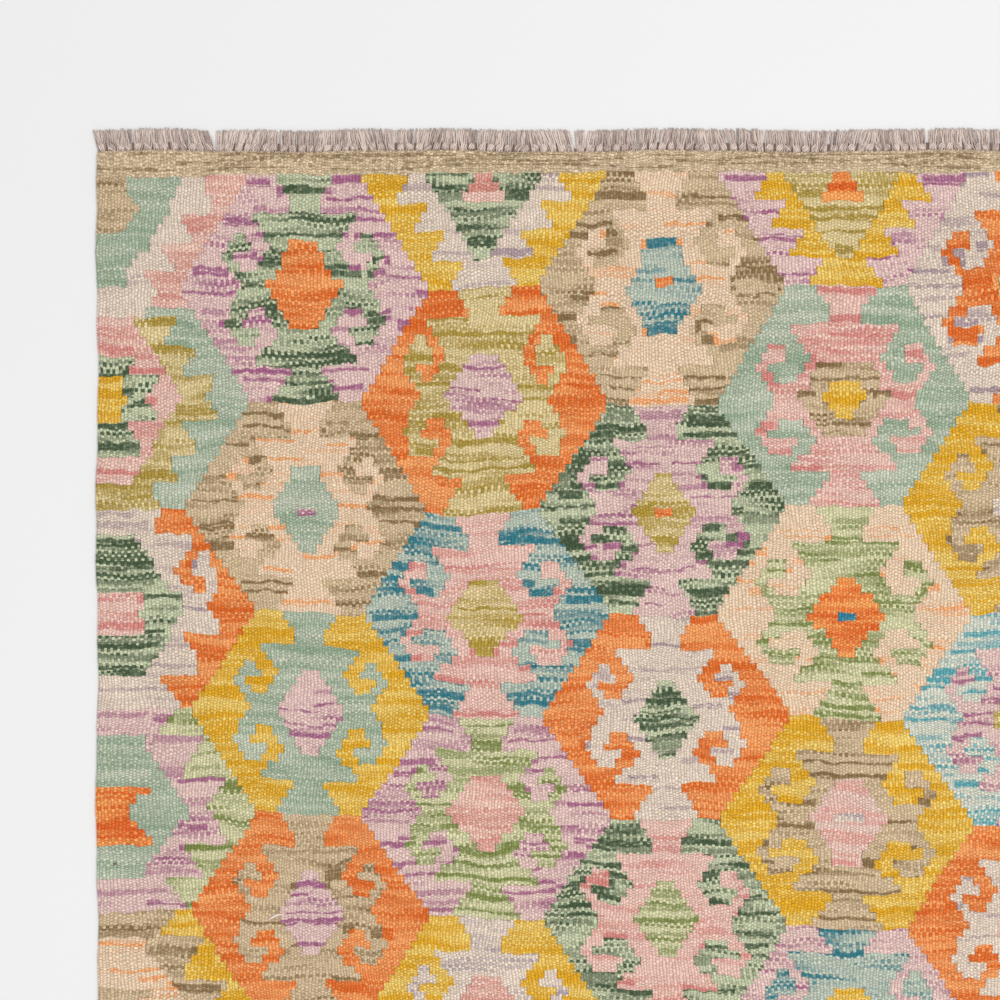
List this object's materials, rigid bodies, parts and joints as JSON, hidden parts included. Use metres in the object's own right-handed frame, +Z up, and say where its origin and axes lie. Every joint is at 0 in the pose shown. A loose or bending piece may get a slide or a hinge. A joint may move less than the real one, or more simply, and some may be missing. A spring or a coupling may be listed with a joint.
{
  "type": "kilim rug",
  "caption": "Flat-woven wool kilim rug with an all-over field of stepped, hooked hexagonal medallions, plain end bands and short cut fringes.",
  "frame": {"origin": "on the floor, under the middle of the rug's bounding box", "axes": "+Y along the warps, towards the pictured end; +X across the rug, towards the right of the picture; +Z up from the floor"},
  "size_m": [1.2658, 1.9174, 0.0032],
  "materials": {
    "kilim_cloth": "matte hand-spun wool, slit tapestry in many soft colours",
    "fringe": "matte undyed wool warp ends, knotted and cut short"
  },
  "bodies": {
    "root": {"kilim_cloth": "kilim_cloth", "fringe_top": "fringe", "fringe_bottom": "fringe"}
  },
  "joints": []
}
